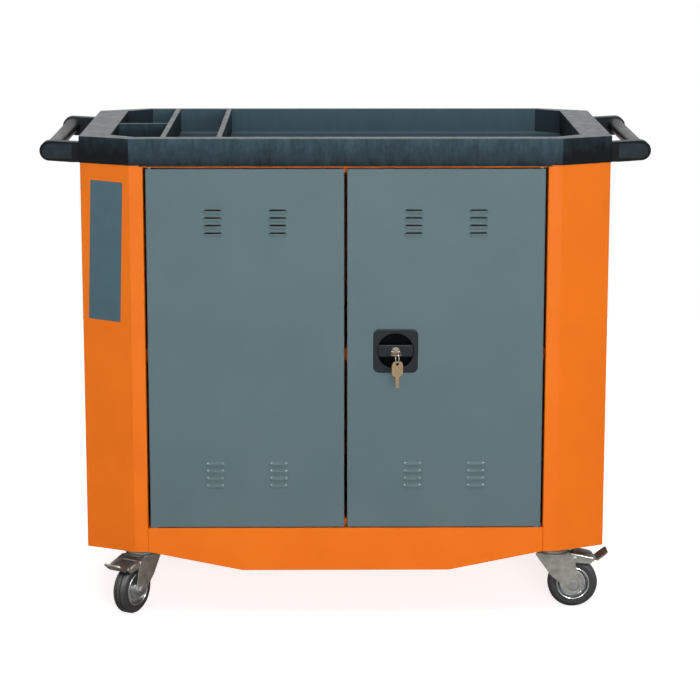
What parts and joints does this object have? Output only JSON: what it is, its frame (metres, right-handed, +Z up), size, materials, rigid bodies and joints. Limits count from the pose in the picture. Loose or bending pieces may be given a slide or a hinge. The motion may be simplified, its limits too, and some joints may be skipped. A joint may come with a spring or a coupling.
{
  "type": "device storage cart",
  "caption": "Cart on swivel casters: sheet-metal cabinet with two louvred doors, cam lock with locking rods, shelf inside, divided tray on top, push handle at each end.",
  "frame": {"origin": "on the floor under the centre of the overall box, with the keys and caster pedals counted", "axes": "+X to the right of someone facing the doors, +Y from the doors to the back, +Z up"},
  "size_m": [1.194, 0.548, 0.965],
  "materials": {
    "orange_paint": "satin",
    "grey_paint": "satin",
    "black_moulding": "fine grain",
    "lock_black": "semi gloss",
    "bright_steel": "polished",
    "key_metal": "nickel wash",
    "zinc_steel": "zinc plated",
    "guide_plastic": "plain",
    "buffer_rubber": "soft",
    "fork_steel": "zinc plated",
    "rim_plastic": "plain",
    "tyre_rubber": "smooth",
    "pedal_black": "plain"
  },
  "bodies": {
    "cabinet": {"right_side_panel": "orange_paint", "left_side_panel": "orange_paint", "back_panel": "orange_paint", "top_panel": "orange_paint", "front_rail": "orange_paint", "front_skirt": "orange_paint", "floor_panel": "orange_paint", "caster_channels": "orange_paint", "shelf": "orange_paint", "shelf_uprights": "orange_paint", "shelf_clips": "zinc_steel", "tool_tray": "black_moulding", "left_handle_front_arm": "black_moulding", "right_handle_front_arm": "black_moulding", "left_handle_rear_arm": "black_moulding", "right_handle_rear_arm": "black_moulding", "left_handle_grip": "black_moulding", "right_handle_grip": "black_moulding", "hinge_pins": "zinc_steel", "hinge_washers": "zinc_steel", "door_buffers": "buffer_rubber", "caster_plates": "zinc_steel", "caster_bolts": "zinc_steel"},
    "left_leaf": {"left_door": "grey_paint", "left_door_stiffener": "grey_paint", "left_bolt_guides": "guide_plastic"},
    "right_leaf": {"right_door": "grey_paint", "right_door_stiffeners": "grey_paint", "rod_guides": "guide_plastic", "lock_housing": "lock_black"},
    "latch": {"latch_handle": "lock_black", "lock_cam": "zinc_steel"},
    "upper_rod": {"upper_lock_rod": "zinc_steel"},
    "lower_rod": {"lower_lock_rod": "zinc_steel"},
    "plug": {"lock_plug": "bright_steel"},
    "front_key": {"key": "key_metal"},
    "ring": {"key_ring": "bright_steel"},
    "hanging_key": {"spare_key": "key_metal"},
    "left_upper_bolt": {"left_door_upper_bolt": "zinc_steel"},
    "left_lower_bolt": {"left_door_lower_bolt": "zinc_steel"},
    "front_left_swivel": {"front_left_fork": "fork_steel", "front_left_axle": "fork_steel"},
    "front_left_wheel": {"front_left_rim": "rim_plastic", "front_left_tyre": "tyre_rubber"},
    "front_left_pedal": {"front_left_brake_pedal": "pedal_black"},
    "front_right_swivel": {"front_right_fork": "fork_steel", "front_right_axle": "fork_steel"},
    "front_right_wheel": {"front_right_rim": "rim_plastic", "front_right_tyre": "tyre_rubber"},
    "front_right_pedal": {"front_right_brake_pedal": "pedal_black"},
    "back_left_swivel": {"back_left_fork": "fork_steel", "back_left_axle": "fork_steel"},
    "back_left_wheel": {"back_left_rim": "rim_plastic", "back_left_tyre": "tyre_rubber"},
    "back_right_swivel": {"back_right_fork": "fork_steel", "back_right_axle": "fork_steel"},
    "back_right_wheel": {"back_right_rim": "rim_plastic", "back_right_tyre": "tyre_rubber"}
  },
  "joints": [
    {"name": "left_door_hinge", "type": "hinge", "parent": "cabinet", "child": "left_leaf", "pos_m": [-0.381, -0.21548, 0.54575], "axis": [0, 0, -1], "range_deg": [0, 100]},
    {"name": "right_door_hinge", "type": "hinge", "parent": "cabinet", "child": "right_leaf", "pos_m": [0.381, -0.21548, 0.54575], "axis": [0, 0, 1], "range_deg": [0, 100]},
    {"name": "latch_turn", "type": "hinge", "parent": "right_leaf", "child": "latch", "pos_m": [0.098, -0.22448, 0.545], "axis": [0, -1, 0], "range_deg": [0, 90]},
    {"name": "upper_rod_slide", "type": "slide", "parent": "right_leaf", "child": "upper_rod", "axis": [0, 0, 1], "range_m": [0, 0.01414]},
    {"name": "lower_rod_slide", "type": "slide", "parent": "right_leaf", "child": "lower_rod", "axis": [0, 0, -1], "range_m": [0, 0.01414]},
    {"name": "plug_turn", "type": "hinge", "parent": "latch", "child": "plug", "pos_m": [0.098, -0.22448, 0.545], "axis": [0, -1, 0], "range_deg": [0, 90]},
    {"name": "key_pull", "type": "slide", "parent": "plug", "child": "front_key", "axis": [0, -1, 0], "range_m": [0, 0.02]},
    {"name": "key_ring_swing", "type": "hinge", "parent": "front_key", "child": "ring", "pos_m": [0.098, -0.25898, 0.545], "axis": [-0.9397, -0.342, 0], "range_deg": [0, 40]},
    {"name": "spare_key_swing", "type": "hinge", "parent": "ring", "child": "hanging_key", "pos_m": [0.1001, -0.26476, 0.52985], "axis": [-0.342, 0.9397, 0], "range_deg": [-30, 30]},
    {"name": "left_upper_bolt_slide", "type": "slide", "parent": "left_leaf", "child": "left_upper_bolt", "axis": [0, 0, 1], "range_m": [0, 0.014]},
    {"name": "left_lower_bolt_slide", "type": "slide", "parent": "left_leaf", "child": "left_lower_bolt", "axis": [0, 0, -1], "range_m": [0, 0.014]},
    {"name": "front_left_swivel_turn", "type": "hinge", "parent": "cabinet", "child": "front_left_swivel", "pos_m": [-0.41, -0.16198, 0.117], "axis": [0, 0, 1], "continuous": true},
    {"name": "front_left_wheel_spin", "type": "hinge", "parent": "front_left_swivel", "child": "front_left_wheel", "pos_m": [-0.43, -0.19662, 0.05], "axis": [0.866, -0.5, 0], "continuous": true},
    {"name": "front_left_pedal_press", "type": "hinge", "parent": "front_left_swivel", "child": "front_left_pedal", "pos_m": [-0.431, -0.19835, 0.1075], "axis": [0.866, -0.5, 0], "range_deg": [0, 8]},
    {"name": "front_right_swivel_turn", "type": "hinge", "parent": "cabinet", "child": "front_right_swivel", "pos_m": [0.421, -0.16198, 0.117], "axis": [0, 0, 1], "continuous": true},
    {"name": "front_right_wheel_spin", "type": "hinge", "parent": "front_right_swivel", "child": "front_right_wheel", "pos_m": [0.461, -0.16198, 0.05], "axis": [0, 1, 0], "continuous": true},
    {"name": "front_right_pedal_press", "type": "hinge", "parent": "front_right_swivel", "child": "front_right_pedal", "pos_m": [0.463, -0.16198, 0.1075], "axis": [0, 1, 0], "range_deg": [0, 8]},
    {"name": "back_left_swivel_turn", "type": "hinge", "parent": "cabinet", "child": "back_left_swivel", "pos_m": [-0.41, 0.21002, 0.117], "axis": [0, 0, 1], "continuous": true},
    {"name": "back_left_wheel_spin", "type": "hinge", "parent": "back_left_swivel", "child": "back_left_wheel", "pos_m": [-0.37087, 0.21834, 0.05], "axis": [-0.2079, 0.9781, 0], "continuous": true},
    {"name": "back_right_swivel_turn", "type": "hinge", "parent": "cabinet", "child": "back_right_swivel", "pos_m": [0.421, 0.21002, 0.117], "axis": [0, 0, 1], "continuous": true},
    {"name": "back_right_wheel_spin", "type": "hinge", "parent": "back_right_swivel", "child": "back_right_wheel", "pos_m": [0.38187, 0.21834, 0.05], "axis": [-0.2079, -0.9781, 0], "continuous": true}
  ],
  "couplings": [
    {"joint": "upper_rod_slide", "follows": "latch_turn", "m_per_rad": 0.0090032},
    {"joint": "lower_rod_slide", "follows": "latch_turn", "m_per_rad": 0.0090032}
  ]
}
